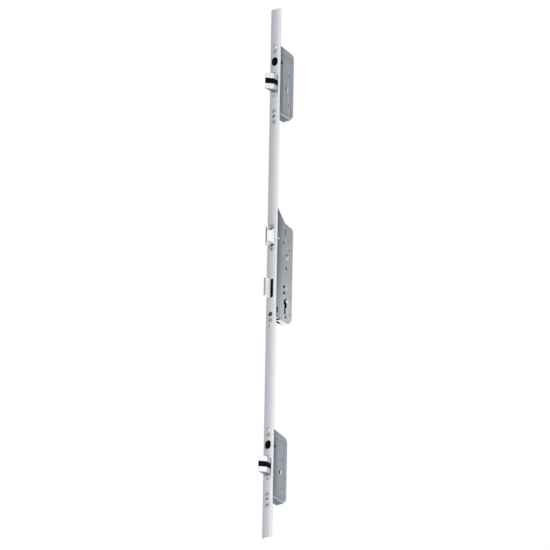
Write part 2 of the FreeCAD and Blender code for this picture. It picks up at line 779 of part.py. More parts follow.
def make_key_gear():
    """Gear that the key cylinder turns: it lifts the rack and so draws the bolts in."""
    pitch_radius = gear_module * gear_teeth / 2
    base = pitch_radius * math.cos(math.radians(20))
    root = pitch_radius - 1.25 * gear_module
    tip = pitch_radius + 0.95 * gear_module
    half = math.pi / (2 * gear_teeth) - gear_backlash / (4 * pitch_radius)
    half = half + involute_angle(pitch_radius, base)
    radii = (base, (base + pitch_radius) / 2, pitch_radius, (pitch_radius + tip) / 2, tip)
    points = []
    for tooth in range(gear_teeth):
        centre = math.pi + 2 * math.pi * tooth / gear_teeth
        left = [(root, -half), *[(radius, -half + involute_angle(radius, base)) for radius in radii]]
        right = [(radius, -turn) for radius, turn in reversed(left)]
        for radius, turn in left + right:
            angle = centre + turn
            points.append((radius * math.cos(angle), gear_z + radius * math.sin(angle)))
    disc = plate_x(points, plate_inner, plate_outer)
    hub = bar_x(0, gear_z, gear_hub_radius, -case_inner + side_play, plate_outer)
    bore = bar_x(0, gear_z, gear_axle_radius + gear_play, -case_half, case_half)
    slot_top = gear_z - gear_hub_radius + 1.6
    drive_slot = block((-2.5, 2.5), (-gear_hub_radius, gear_hub_radius), (slot_top - 3, slot_top))
    pieces["key_gear"] = disc.fuse(hub).removeSplitter().cut([bore, drive_slot])


def make_follower():
    """Hub with the square hole for the handle's spindle and the arm that draws the latch in."""
    hub = bar_x(0, 0, hub_radius, -hub_half, hub_half)
    journal = bar_x(0, 0, journal_radius, -case_half - journal_proud, case_half + journal_proud)
    arm = block((-arm_half, arm_half), (-arm_half, arm_half), (0, arm_reach))
    half = square_side / 2
    square = block((-case_half - 1, case_half + 1), (-half, half), (-half, half))
    pieces["follower"] = hub.fuse([journal, arm]).removeSplitter().cut(square)


def make_latch():
    """Slanted latch head with notches for the screwdriver, and the tail that the follower pulls."""
    low = latch_centre - latch_height / 2
    high = latch_centre + latch_height / 2
    head = slanted_bolt(low, high, latch_throw, latch_head_tail, latch_nose)
    centre_x = (bolt_right - bolt_left) / 2
    notches = [bar_y(centre_x, z, latch_notch_radius, face_y - latch_throw - 1, web_back + 2)
               for z in (low + latch_notch_inset, high - latch_notch_inset)]
    half = tail_thickness / 2
    tail_front = web_back + 2.5
    tail_back = arm_half + arm_gap + tail_lug
    bar = block((-half, half), (tail_front, tail_back), (tail_low, tail_high))
    lug = block((-half, half), (tail_back - tail_lug, tail_back), (tail_lug_low, tail_low))
    rivet_y = face_y + latch_head_tail - 3.5
    rivet = bar_x(rivet_y, latch_centre - 2, 1.5, -bolt_left, bolt_right)
    pieces["latch_bolt"] = head.cut(notches + [bar, rivet])
    pieces["latch_tail"] = bar.fuse(lug).removeSplitter().cut(rivet)
    pieces["latch_rivet"] = rivet
    spring_x = centre_x
    spring_front = face_y + latch_head_tail
    spring = bar_y(spring_x, latch_spring_z, latch_spring_radius, spring_front, latch_seat_y)
    bore = bar_y(spring_x, latch_spring_z, latch_spring_radius - 0.8, spring_front - 1, latch_seat_y + 1)
    seat_low = latch_spring_z - latch_seat_height / 2
    seat = block((-case_inner, case_inner), (latch_seat_y, latch_seat_y + latch_seat_thickness),
                 (seat_low, seat_low + latch_seat_height))
    pieces["latch_spring"] = spring.cut(bore)
    pieces["latch_spring_seat"] = seat


def make_deadbolt():
    """Flat-nosed deadbolt, its cam pin and the plastic guide that fills the window beside it."""
    half = deadbolt_height / 2
    z = (deadbolt_centre - half, deadbolt_centre + half)
    body = block((deadbolt_left, deadbolt_right), (face_y - deadbolt_throw, face_y + deadbolt_tail), z)
    nose = [e for e in body.Edges if all(abs(v.Y - face_y + deadbolt_throw) < 1e-6 for v in e.Vertexes)]
    body = body.makeFillet(deadbolt_corner, nose)
    embed = deadbolt_right - 3
    socket = bar_x(deadbolt_pin_place, deadbolt_centre, cam_pin_radius, embed, deadbolt_right)
    pieces["deadbolt"] = body.cut(socket)
    pieces["deadbolt_cam_pin"] = bar_x(deadbolt_pin_place, deadbolt_centre, cam_pin_radius,
                                       embed, plate_outer - 0.1)
    gap = side_play
    plug = block((deadbolt_right + gap, deadbolt_window_right), (face_y + 0.8, web_back),
                 (z[0] - window_play + window_corner, z[1] + window_play - window_corner))
    flange = block((deadbolt_right + gap, case_inner), (web_back, plate_front - 0.5),
                   (z[0] - 2.5, z[1] + 2.5))
    pieces["deadbolt_guide"] = plug.fuse(flange).removeSplitter()


def make_trigger(name, z):
    """Push-in trigger with its collar, spring and seat, and the lever that lets the side bolt go."""
    centre = z + trigger_z
    back = flange_edge - 0.3
    collar = trigger_bar(centre, trigger_collar, face_y - 0.2, web_back)
    flange = block((-case_inner + 0.1, case_inner), (web_back, back),
                   (centre - trigger_guide_half, centre + trigger_guide_half))
    bore = trigger_bar(centre, trigger_radius + trigger_play, face_y - 1, face_y + trigger_seat_y)
    head_back = web_back + trigger_head
    head = trigger_bar(centre, trigger_radius, face_y - trigger_proud, head_back)
    front = [e for e in head.Edges if abs(e.BoundBox.YMax - face_y + trigger_proud) < 1e-6]
    head = head.makeFillet(trigger_dome, front)
    stem_end = face_y + stem_end_y
    stem = bar_y(0, centre, trigger_stem, head_back, stem_end)
    seat_y = face_y + trigger_seat_y
    spring = bar_y(0, centre, trigger_stem + 2.0, head_back, seat_y)
    spring_bore = bar_y(0, centre, trigger_stem + 0.9, head_back - 1, seat_y + 1)
    seat = block((-plate_inner + 2 * side_play, case_inner), (seat_y, seat_y + trigger_seat_thickness),
                 (centre - 6, centre + 6))
    seat_bore = bar_y(0, centre, trigger_stem + 0.3, seat_y - 1, seat_y + trigger_seat_thickness + 1)
    clip_y, clip_z, clip_radius = clip_place(z)
    ear = block((case_inner - clip_thickness, case_inner), (web_back, seat_y - clip_play),
                (centre - clip_half_height, centre + clip_half_height))
    peg = bar_x(clip_y, clip_z, clip_radius - clip_play, case_inner, case_half + clip_play)
    guide = collar.fuse([flange, ear, peg]).removeSplitter()
    pieces[name + "_trigger_guide"] = guide.cut(bore)
    pieces[name + "_trigger"] = head.fuse(stem).removeSplitter()
    pieces[name + "_trigger_spring"] = spring.cut(spring_bore)
    pieces[name + "_trigger_seat"] = seat.cut(seat_bore)

    pivot = (lever_pin_y, z + lever_pin_z)
    hub = bar_x(*pivot, lever_hub_radius, -lever_half, lever_half)
    arm_front = stem_end + lever_gap
    arm = plate_x([(pivot[0] - 2, pivot[1]), (arm_front + 0.5, centre - 3), (arm_front, centre),
                   (arm_front, centre + 3), (arm_front + lever_bar, centre + 3),
                   (pivot[0] + lever_bar, pivot[1])], -lever_half, lever_half)
    nose_z = z + side_bolt_rise + side_bolt_height / 2 + lever_nose_gap
    nose = plate_x([(pivot[0] - 1, pivot[1] - 2), (pivot[0] - 4, pivot[1]), (pivot[0] - 6.5, nose_z),
                    (pivot[0] - 3.0, nose_z)], -lever_half, lever_half)
    pin_hole = bar_x(*pivot, lever_pin_radius + gear_play, -case_half, case_half)
    pieces[name + "_trigger_lever"] = hub.fuse([arm, nose]).removeSplitter().cut(pin_hole)


def build():
    make_rail()
    make_fasteners()
    make_main_case()
    for name, z in side_units:
        make_side_case(name, z)
        make_side_bolt(name, z + side_bolt_rise)
        make_bolt_guide(name, z + side_bolt_rise)
        make_trigger(name, z)
    make_drive()
    make_key_gear()
    make_follower()
    make_latch()
    make_deadbolt()


build()
os.makedirs("parts", exist_ok=True)
for node, shape in pieces.items():
    shape.exportStep("parts/" + node + ".step")
print(len(pieces), "nodes,", sum(len(shape.Solids) for shape in pieces.values()), "solids")
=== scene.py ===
"""Looks of the multipoint door lock: a finish for every piece of the frame, coils, light and camera."""
import math

import bmesh
import bpy
from mathutils import Matrix, Vector


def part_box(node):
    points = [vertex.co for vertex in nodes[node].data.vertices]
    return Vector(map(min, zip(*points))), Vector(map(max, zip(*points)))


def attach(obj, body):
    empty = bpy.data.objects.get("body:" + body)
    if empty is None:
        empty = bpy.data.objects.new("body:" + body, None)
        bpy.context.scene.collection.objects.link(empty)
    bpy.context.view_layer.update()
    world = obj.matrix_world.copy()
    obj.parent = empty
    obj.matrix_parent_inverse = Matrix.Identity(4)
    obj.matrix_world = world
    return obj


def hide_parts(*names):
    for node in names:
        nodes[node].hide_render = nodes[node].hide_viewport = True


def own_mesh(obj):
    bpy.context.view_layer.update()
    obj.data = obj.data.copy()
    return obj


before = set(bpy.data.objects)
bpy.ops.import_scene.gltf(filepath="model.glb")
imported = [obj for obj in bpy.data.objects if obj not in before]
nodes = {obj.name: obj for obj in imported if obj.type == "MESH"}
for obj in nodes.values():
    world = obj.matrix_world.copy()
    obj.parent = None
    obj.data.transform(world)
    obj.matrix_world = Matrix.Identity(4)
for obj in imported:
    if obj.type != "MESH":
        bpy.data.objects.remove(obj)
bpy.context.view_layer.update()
MM = 0.001

# The camera stands low, in front and to the right, far away, so the view is almost parallel
CAMERA_TURN = math.radians(35.0)
CAMERA_RISE = math.radians(-22.5)
CAMERA_ROLL = math.radians(1.02)
CAMERA_DISTANCE = 6.0
PIXEL_SIZE = 1.865 * MM
FRAME_PIXELS = 550
ORIGIN_PIXEL = (283.5, 258.8)

# Faceplate rail, from its front to the edge of its flanges, and where its right-hand bend starts
FACE_Y = -40 * MM
WEB_BACK = -38.5 * MM
FLANGE_EDGE = -35 * MM
FLANGE_BEND = 8.4 * MM

# Faceplate screws: corners of one head lie closer together than the gap, one above the other; the radii are
# those of the painted shade around a head, in its countersink, and of the painted shade in the middle of
# its socket
SCREW_GAP = 2 * MM
SCREW_SHADE = 4.3 * MM
SCREW_CORE = 1.9 * MM

# Where each bolt ends, where painted shade darkens it on its way into the faceplate, and where painted
# shade starts on the side bolts' near flank
LATCH_TIP, LATCH_ENTRY = -52.5 * MM, -37.5 * MM
DEADBOLT_TIP, DEADBOLT_ENTRY = -54 * MM, FACE_Y - 0.2 * MM
SIDE_BOLT_TIP, SIDE_BOLT_ENTRY = -62.5 * MM, -39.2 * MM
SIDE_BOLT_FLANK = 6.5 * MM

# The latch's round notches: radius, how far their middles lie within its ends, and width of the painted
# shade rim around them
LATCH_NOTCH = 5.0 * MM
NOTCH_INSET = 1.0 * MM
NOTCH_RIM = 0.9 * MM

# All cases: near plate's face, its wall, the posts' ends, and where the painted shadow in the gap behind
# the flange ends
CASE_SIDE = 8.25 * MM
CASE_WALL = 1.25 * MM
POST_END = 8.7 * MM
GAP_END = -31 * MM

# Main case: a collar is (y, z, half a width), a patch of painted shade by an edge is (y, z, half a width,
# half a height), and a ring of painted shade is (y, z, radius)
MAIN_CASE_BACK = 18 * MM
MAIN_SHADE_END = -8 * MM
MAIN_CASE_BOTTOM = -130.5 * MM
MAIN_CASE_MIDDLE = (-5 * MM, -20 * MM)
KEYHOLE_TOP = -83 * MM
LIP_FRONT = 3.0 * MM
COLLARS = ((0.0, -21.5 * MM, 4.0 * MM), (-9.5 * MM, 27.1 * MM, 3.2 * MM))
COLLAR_DEPTH = 6.2 * MM
SHADED_EDGES = ((-31.0 * MM, -114.6 * MM, 3.9 * MM, 5.5 * MM), (-6.0 * MM, -108.5 * MM, 1.0 * MM, 8.0 * MM),
              (-10.0 * MM, -61.3 * MM, 1.0 * MM, 2.6 * MM), (-10.0 * MM, -73.4 * MM, 1.0 * MM, 2.6 * MM))
SHADED_RINGS = ((-1.4 * MM, -120.6 * MM, 2.7 * MM), (14.2 * MM, -111.1 * MM, 2.1 * MM),
              (-10.7 * MM, 27.1 * MM, 3.1 * MM))

# Heights between which painted shade darkens the main case's sheet, painted light brightens it, and its
# painted shade by the flange fades
DARKER_HEIGHTS = (20 * MM, 90 * MM)
BRIGHTER_HEIGHTS = (-20 * MM, MAIN_CASE_BOTTOM)
SHADE_HEIGHTS = (10 * MM, -90 * MM)

# Slots in the main case's bottom wall: x, half a width, y, half a length
SOLE_SLOTS = ((2.2 * MM, 5.1 * MM, -19.4 * MM, 3.1 * MM), (-5.2 * MM, 2.6 * MM, -6.5 * MM, 5.4 * MM))

# Side cases, with rises above their bottoms: a clip hole is (y, rise, radius of the painted shade around
# it), and a square hole is (y, rise, half a width, half a height), with a painted shade rim at its front
# and a painted highlight rim at its back
SIDE_CASE_BACK = 11 * MM
SIDE_SHADE_END = -18 * MM
SIDE_CASE_BOTTOMS = {"upper": 278 * MM, "lower": -495.5 * MM}
SIDE_CLIP = (-29 * MM, 105.4 * MM, 2.9 * MM)
SIDE_SQUARE = (-10.9 * MM, 58.8 * MM, 2.0 * MM, 3.5 * MM)
SQUARE_SHADE = 1.2 * MM
SQUARE_SHINE = 1.5 * MM

# Side cases' lower ends: how high the dark bottom wall and the painted highlight on the cover's lower edge
# reach, and how far the edge rises towards the faceplate
TRAY_LOW = 2.2 * MM
COVER_LOW = 1.2 * MM
COVER_RISE = 1.6 * MM

# Coils: segments in a turn and around the wire
COIL_STEPS = 20
WIRE_SIDES = 8

# Floor and light: a lamp has a place, a size and a power
FLOOR_Z = -3.6
FLOOR_SIZE = 30.0
AMBIENT = 0.55
LAMPS = {"front_lamp": ((1.55, -2.2, -1.1), 0.8, 26.0), "side_lamp": ((2.7, -0.6, 0.4), 1.6, 16.5),
         "low_lamp": ((0.5, -0.8, -2.9), 1.2, 27.0)}


def linear(*levels):
    """Colour from three display levels, 0 to 255."""
    values = []
    for level in levels:
        share = level / 255
        values.append(share / 12.92 if share <= 0.04045 else ((share + 0.055) / 1.055) ** 2.4)
    return (*values, 1.0)


# painted shade for holes, edges, slots and bores
SHADE_BLACK = linear(22, 23, 26)
DEEP_SHADE = linear(24, 27, 31)
BRIGHT = linear(252, 252, 252)
PLATE_GREY = linear(160, 166, 173)
GROOVE_GREY = linear(112, 119, 128)


class Field:
    """A value that changes over a surface: arithmetic on it adds Math nodes."""

    def __init__(self, board, socket):
        self.board = board
        self.socket = socket

    def math(self, operation, first, second, clamp=False):
        settings = {"operation": operation, "use_clamp": clamp}
        return self.board.node("ShaderNodeMath", settings, {0: first, 1: second})

    def __add__(self, other):
        return self.math("ADD", self, other)

    def __sub__(self, other):
        return self.math("SUBTRACT", self, other)

    def __mul__(self, other):
        return self.math("MULTIPLY", self, other)

    def __radd__(self, other):
        return self.math("ADD", other, self)

    def __rsub__(self, other):
        return self.math("SUBTRACT", other, self)

    def __rmul__(self, other):
        return self.math("MULTIPLY", other, self)

    def __abs__(self):
        return self.math("ABSOLUTE", self, 0.0)

    def power(self, exponent):
        return self.math("POWER", self, exponent)

    def least(self, other):
        return self.math("MINIMUM", self, other)

    def ramp(self, low, high):
        """0 where the value is low, 1 where it is high."""
        share = (self - low) * (1.0 / (high - low))
        return self.math("ADD", share, 0.0, clamp=True)


class Board:
    """A node tree that is filled node by node."""

    def __init__(self, tree):
        self.tree = tree

    def feed(self, socket, value):
        """Links a field to a socket, or sets the socket's own value."""
        if isinstance(value, Field):
            self.tree.links.new(value.socket, socket)
        else:
            socket.default_value = value

    def node(self, kind, settings=None, sockets=None, out=0):
        """Adds a node: its settings first, then the values or links of its sockets."""
        node = self.tree.nodes.new(kind)
        for name, value in (settings or {}).items():
            setattr(node, name, value)
        for name, value in (sockets or {}).items():
            self.feed(node.inputs[name], value)
        return Field(self, node.outputs[out]) if out is not None else node

    def blend(self, share, first, second):
        """Mixes two colours: the first where the share is 0, the second where it is 1."""
        return self.node("ShaderNodeMix", {"data_type": "RGBA"}, {0: share, 6: first, 7: second}, out=2)

    def seen_directly(self):
        """1 for what the camera, reflections and clear pieces see, 0 for soft light."""
        seen = self.node("ShaderNodeLightPath", out="Is Camera Ray")
        for ray in ("Is Glossy Ray", "Is Transmission Ray"):
            seen = seen + self.node("ShaderNodeLightPath", out=ray)
        return seen.ramp(0.0, 1.0)


class Finish(Board):
    """A material that is built from nodes around one Principled shader."""

    def __init__(self, name, metallic, **constants):
        self.material = bpy.data.materials.new(name)
        self.material.use_nodes = True
        super().__init__(self.material.node_tree)
        self.shader = self.tree.nodes["Principled BSDF"]
        self.set(Metallic=metallic, **constants)
        self.place = self.node("ShaderNodeTexCoord", out="Object")
        self.x, self.y, self.z = (
            self.node("ShaderNodeSeparateXYZ", sockets={0: self.place}, out=axis) for axis in "XYZ")

    def noise(self, scale, stretch=(1, 1, 1), detail=3.0, roughness=0.5):
        """Noise over the object's own coordinates, from 0 to 1."""
        mapped = self.node("ShaderNodeMapping", sockets={"Vector": self.place, "Scale": stretch})
        sockets = {"Vector": mapped, "Scale": scale, "Detail": detail, "Roughness": roughness}
        return self.node("ShaderNodeTexNoise", sockets=sockets, out="Fac")

    def facing(self, axis):
        """How far the surface faces along an axis, from -1 to 1."""
        normal = self.node("ShaderNodeNewGeometry", out="Normal")
        return self.node("ShaderNodeSeparateXYZ", sockets={0: normal}, out=axis)

    def on_cover(self):
        """1 on the outer face of a case's cover, 0 in its grooves and punched edges."""
        return self.x.ramp(CASE_SIDE - 0.15 * MM, CASE_SIDE - 0.05 * MM)

    def span(self, axis, middle, half):
        """1 within half a width of a place along an axis, 0 outside."""
        return 1 - abs(getattr(self, axis) - middle).ramp(half, half + 0.1 * MM)

    def around(self, y, z, reach, rise=None):
        """1 near a place on the case's side, 0 further away than the reach and the rise."""
        return self.span("y", y, reach) * self.span("z", z, rise or reach)

    def disc(self, across, along, radius):
        """1 within a radius of an axis, from the two distances to it; 0 outside."""
        return 1 - (across * across + along * along).power(0.5).ramp(radius, radius + 0.1 * MM)

    def bump(self, height, strength, distance):
        """Normal of a surface with small heights and hollows."""
        sockets = {"Height": height, "Strength": strength, "Distance": distance}
        return self.node("ShaderNodeBump", sockets=sockets)

    def set(self, **values):
        """Sets or links the shader's sockets by name."""
        for name, value in values.items():
            self.feed(self.shader.inputs[name.replace("_", " ")], value)
        return self


def screw_heights():
    """Heights of the faceplate's screws, from the front faces of their heads."""
    mesh = nodes["faceplate_screws"].data
    heads = []
    for z in sorted(vertex.co.z for vertex in mesh.vertices if vertex.co.y < FACE_Y + 0.01 * MM):
        if not heads or z - heads[-1][-1] > SCREW_GAP:
            heads.append([])
        heads[-1].append(z)
    return [(head[0] + head[-1]) / 2 for head in heads]


def screw_reach(finish):
    """Distance from the axis of the nearest faceplate screw."""
    first, *others = screw_heights()
    rise = abs(finish.z - first)
    for height in others:
        rise = rise.least(abs(finish.z - height))
    return (finish.x * finish.x + rise * rise).power(0.5)


def satin_rail():
    """Satin silver coating with fine lengthwise streaks; painted shading across the web, a painted
    highlight along the right-hand bend, and painted shade around the screws' heads and on the walls of the
    holes.
    """
    finish = Finish("satin_silver_rail", 0.4)
    streak = finish.noise(900.0, (1.0, 1.0, 0.03), 4.0)
    cloud = finish.noise(14.0, (1.0, 1.0, 0.4), 2.0)
    fine = finish.noise(2600.0, detail=2.0)
    # painted shading across the web: darker on its left, lighter on its right
    across = finish.x.ramp(-8 * MM, 9 * MM)
    colour = finish.blend(across.power(1.5), linear(182, 187, 194), linear(228, 231, 235))
    # painted highlight along the right-hand bend and flange
    colour = finish.blend(finish.x.ramp(FLANGE_BEND, FLANGE_BEND + 1.2 * MM), colour, linear(226, 228, 231))
    colour = finish.blend((streak - 0.5) * 0.22 + cloud * 0.1, colour, linear(160, 166, 176))
    # painted shade in the countersinks, in a ring around each screw's head
    countersink_shade = 1 - screw_reach(finish).ramp(SCREW_SHADE, SCREW_SHADE + 0.5 * MM)
    colour = finish.blend(countersink_shade * 0.75, colour, linear(60, 64, 70))
    # painted shade on the walls of the holes and windows within the web's thickness
    punched = finish.y.ramp(FACE_Y + 0.03 * MM, FACE_Y + 0.15 * MM)
    punched = punched * (1 - finish.x.ramp(FLANGE_BEND, FLANGE_BEND + 0.2 * MM))
    punched = punched * (1 - finish.y.ramp(WEB_BACK - 0.1 * MM, WEB_BACK))
    colour = finish.blend(punched * 0.95, colour, linear(34, 36, 40))
    finish.set(Base_Color=colour, Roughness=0.30 + streak * 0.14)
    return finish.set(Normal=finish.bump(streak + fine * 0.3, 0.08, 0.02 * MM)).material


def plated_sheet(finish, front, back, case_back, shade, shade_end):
    """Zinc plated sheet: cloudy, with painted shade that makes its front darker than its back, darkest next
    to the rail's flange, and a painted shadow in the gap behind the flange.
    """
    cloud = finish.noise(45.0, detail=5.0, roughness=0.6)
    fine = finish.noise(1400.0, roughness=0.7)
    # painted shade: the front tone, next to the flange, is darker than the back's
    colour = finish.blend(finish.y.ramp(GAP_END, case_back), front, back)
    colour = finish.blend((cloud - 0.45) * 0.35, colour, linear(196, 203, 210))
    colour = finish.blend((fine - 0.5) * 0.4, colour, linear(70, 76, 84))
    # painted shade next to the rail's flange, fading towards the back
    near_flange = (1 - finish.y.ramp(FLANGE_EDGE, shade_end)).power(1.6)
    colour = finish.blend(near_flange * shade, colour, DEEP_SHADE)
    # painted shadow in the gap behind the flange
    gap_shadow = 1 - finish.y.ramp(GAP_END - 0.6 * MM, GAP_END + 0.2 * MM)
    colour = finish.blend(gap_shadow * 0.85, colour, DEEP_SHADE)
    finish.set(Roughness=0.34 + cloud * 0.16, Normal=finish.bump(fine, 0.18, 0.03 * MM))
    return colour


def side_sheet(finish):
    """The side cases' sheet, with faint upright rolling marks."""
    tones = linear(134, 141, 150), linear(158, 165, 172)
    colour = plated_sheet(finish, *tones, SIDE_CASE_BACK, 0.62, SIDE_SHADE_END)
    marks = finish.noise(340.0, (1.0, 1.0, 0.008), 2.0)
    colour = finish.blend(marks.ramp(0.5, 0.7) * 0.3, colour, linear(184, 190, 197))
    return finish.blend(marks.ramp(0.5, 0.3) * 0.3, colour, linear(96, 103, 112))


def side_tray_zinc(name, bottom):
    """A side case's far plate and folded walls; its bottom wall is the darkest."""
    finish = Finish(name, 0.5)
    low = 1 - finish.z.ramp(bottom + TRAY_LOW, bottom + TRAY_LOW + 0.2 * MM)
    return finish.set(Base_Color=finish.blend(low, side_sheet(finish), GROOVE_GREY)).material


def side_cover_zinc(name, bottom):
    """A side case's near plate: painted shade in its grooves, on its holes' edges and around its clip hole,
    painted shade and a painted highlight on the square hole's rims, and a painted highlight on its lower
    edge, which slants.
    """
    finish = Finish(name, 0.5)
    # painted highlight along the cover's lower edge, where it bends into the bottom wall; it rises towards
    # the faceplate
    rise = COVER_RISE * (1 - finish.y.ramp(FLANGE_EDGE, -4 * MM))
    low = 1 - (finish.z - rise).ramp(bottom + COVER_LOW, bottom + COVER_LOW + 0.7 * MM)
    colour = finish.blend(low, side_sheet(finish), linear(200, 205, 211))
    # painted shade in the grooves and on the holes' edges
    colour = finish.blend(1 - finish.on_cover(), colour, GROOVE_GREY)
    # painted shade on the holes' walls through the plate
    edges = 1 - finish.x.ramp(CASE_SIDE - 0.5 * MM, CASE_SIDE - 0.4 * MM)
    # painted shade around the clip hole
    clip_y, clip_rise, clip_reach = SIDE_CLIP
    clip_shade = finish.disc(finish.y - clip_y, finish.z - (bottom + clip_rise), clip_reach)
    hole_y, hole_rise, half_width, half_height = SIDE_SQUARE
    front, back = hole_y - half_width, hole_y + half_width
    # painted shade on the rim in front of the square hole
    shade = finish.around(front, bottom + hole_rise, SQUARE_SHADE, half_height)
    colour = finish.blend((edges + clip_shade + shade).ramp(0.0, 1.0), colour, SHADE_BLACK)
    # painted highlight on the rim behind the square hole
    lit = finish.around(back, bottom + hole_rise, SQUARE_SHINE, half_height)
    colour = finish.blend(lit, colour, linear(253, 253, 253))
    return finish.set(Base_Color=colour, Metallic=0.5 * (1 - lit)).material


def main_sheet(finish):
    """The main case's sheet: painted shade and light make it darker towards its top, brighter towards its
    bottom, and less shaded by the flange towards its bottom.
    """
    # painted light towards the bottom, painted shade towards the top
    lower = finish.z.ramp(*BRIGHTER_HEIGHTS) * 0.68
    upper = finish.z.ramp(*DARKER_HEIGHTS) * 0.5
    tones = []
    for tone in (linear(150, 156, 164), PLATE_GREY):
        tone = finish.blend(lower, tone, linear(202, 206, 211))
        tones.append(finish.blend(upper, tone, linear(118, 126, 136)))
    shade = 0.92 - finish.z.ramp(*SHADE_HEIGHTS) * 0.25
    return plated_sheet(finish, *tones, MAIN_CASE_BACK, shade, MAIN_SHADE_END)


def main_cover_zinc():
    """The main case's near plate: painted shade on its punched edges and in patches and rings around holes
    and pegs, and a painted highlight where collars and the keyhole's lip face the front.
    """
    finish = Finish("zinc_main_cover", 0.5)
    edges = 1 - finish.on_cover()
    # painted highlight on the collars' walls and the keyhole's lip where they face the front
    keyhole = 1 - finish.z.ramp(KEYHOLE_TOP, KEYHOLE_TOP + 0.5 * MM)
    pressed = finish.y.ramp(LIP_FRONT, LIP_FRONT + 0.2 * MM) * keyhole
    pressed = pressed + sum(finish.around(*place) for place in COLLARS)
    lit = pressed * (0 - finish.facing("Y")).ramp(0.1, 0.5)
    lit = lit * (finish.x.ramp(COLLAR_DEPTH, COLLAR_DEPTH + 0.1 * MM) + keyhole)
    # painted shade on the punched edges
    colour = finish.blend(edges, main_sheet(finish), SHADE_BLACK)
    colour = finish.blend(edges * lit, colour, BRIGHT)
    # painted shade in patches beside holes and pegs and in rings around holes and pins
    shaded_spots = sum(finish.around(*place) for place in SHADED_EDGES)
    shaded_spots = shaded_spots + sum(finish.disc(finish.y - y, finish.z - z, radius) for y, z, radius in SHADED_RINGS)
    shaded_spots = shaded_spots.ramp(0.0, 1.0) * finish.on_cover()
    colour = finish.blend(shaded_spots * 0.9, colour, SHADE_BLACK)
    return finish.set(Base_Color=colour, Metallic=0.5 * (1 - edges)).material


def main_tray_zinc():
    """The main case's tray: its bottom wall is bright around slots painted dark with shade, its inside is
    painted dark with shade.

    A face is inside where it looks towards the case's middle, and anywhere near the bottom wall.
    """
    finish = Finish("zinc_main_tray", 0.3)
    down = (0 - finish.facing("Z")).ramp(0.3, 0.6)
    sole = down * (1 - finish.z.ramp(MAIN_CASE_BOTTOM + 2 * MM, MAIN_CASE_BOTTOM + 9 * MM))
    middle_y, middle_z = MAIN_CASE_MIDDLE
    outward = (finish.y - middle_y) * finish.facing("Y") + (finish.z - middle_z) * finish.facing("Z")
    above_sole = finish.z.ramp(MAIN_CASE_BOTTOM + 3.0 * MM, MAIN_CASE_BOTTOM + 3.2 * MM)
    within = 2 - outward.ramp(0.0, 1 * MM) - above_sole
    far_plate = CASE_WALL - CASE_SIDE
    inside = within.ramp(0.0, 1.0) * finish.x.ramp(far_plate - 0.2 * MM, far_plate - 0.05 * MM)
    # painted shade: the case's inside is dark
    colour = finish.blend(inside, main_sheet(finish), linear(16, 17, 19))
    colour = finish.blend(sole, colour, linear(254, 254, 254))
    # painted shade in the slots of the bottom wall
    for x, half_width, y, half_length in SOLE_SLOTS:
        slot = finish.span("x", x, half_width) * finish.span("y", y, half_length)
        colour = finish.blend(slot * sole, colour, SHADE_BLACK)
    return finish.set(Base_Color=colour).material


def latch_notches():
    """Middles, across and upwards, of the latch's two round notches."""
    low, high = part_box("latch_bolt")
    return [((low.x + high.x) / 2, z) for z in (low.z + NOTCH_INSET, high.z - NOTCH_INSET)]


def nickel(name, tip_y, nose, light, entry, flank=0.0, underside=0.0, notches=()):
    """Nickel plated bolt steel with grinding lines.

    Painted shade makes the nose before the tip, the flank and the underside darker, gives the notches a
    dark rim, and makes all dark behind the entry into the faceplate.
    """
    finish = Finish(name, 0.15)
    lines = finish.noise(1100.0, (1.0, 0.08, 1.0))
    cloud = finish.noise(90.0, detail=2.0)
    dim = [level - 26 for level in light]
    colour = finish.blend(lines * 0.25, linear(*light), linear(*dim))
    colour = finish.blend(cloud * 0.15, colour, linear(*dim))
    # painted shade on the nose before the tip
    colour = finish.blend(1 - finish.y.ramp(tip_y + 0.1 * MM, tip_y + 0.3 * MM), colour, nose)
    # painted shade on the side bolts' near flank
    side = finish.x.ramp(SIDE_BOLT_FLANK, SIDE_BOLT_FLANK + 0.15 * MM)
    colour = finish.blend(side * flank, colour, linear(182, 188, 195))
    # painted shade on the underside
    down = (0 - finish.facing("Z")).ramp(0.5, 0.9)
    colour = finish.blend(down * underside, colour, linear(126, 132, 141))
    # painted shade behind the entry into the faceplate
    colour = finish.blend(finish.y.ramp(entry, entry + 0.8 * MM), colour, linear(48, 50, 54))
    # painted shade in a rim around each of the latch's notches
    for x, z in notches:
        across, along = finish.x - x, finish.z - z
        rim = finish.disc(across, along, LATCH_NOTCH + NOTCH_RIM)
        rim = rim - finish.disc(across, along, LATCH_NOTCH + 0.05 * MM)
        colour = finish.blend(rim.ramp(0.0, 1.0) * 0.85, colour, linear(60, 63, 68))
    finish.set(Base_Color=colour, Roughness=0.26 + cloud * 0.14)
    return finish.set(Normal=finish.bump(lines, 0.1, 0.02 * MM)).material


def zinc(name, light, dark, roughness, sockets=False):
    """Plain zinc plating; the screws' sockets and their edges may be darkened with painted shade."""
    finish = Finish(name, 0.8)
    cloud = finish.noise(260.0, detail=4.0)
    fine = finish.noise(2200.0, detail=2.0)
    colour = finish.blend(cloud, light, dark)
    if sockets:
        # painted shade in the screws' sockets and on their heads' edges behind the front
        core = 1 - screw_reach(finish).ramp(SCREW_CORE, SCREW_CORE + 0.4 * MM)
        socket_shade = finish.y.ramp(FACE_Y + 0.02 * MM, FACE_Y + 0.25 * MM) + core
        colour = finish.blend(socket_shade.ramp(0.0, 1.0), colour, linear(36, 37, 40))
    finish.set(Base_Color=colour, Roughness=roughness + cloud * 0.15)
    return finish.set(Normal=finish.bump(fine, 0.12, 0.02 * MM)).material


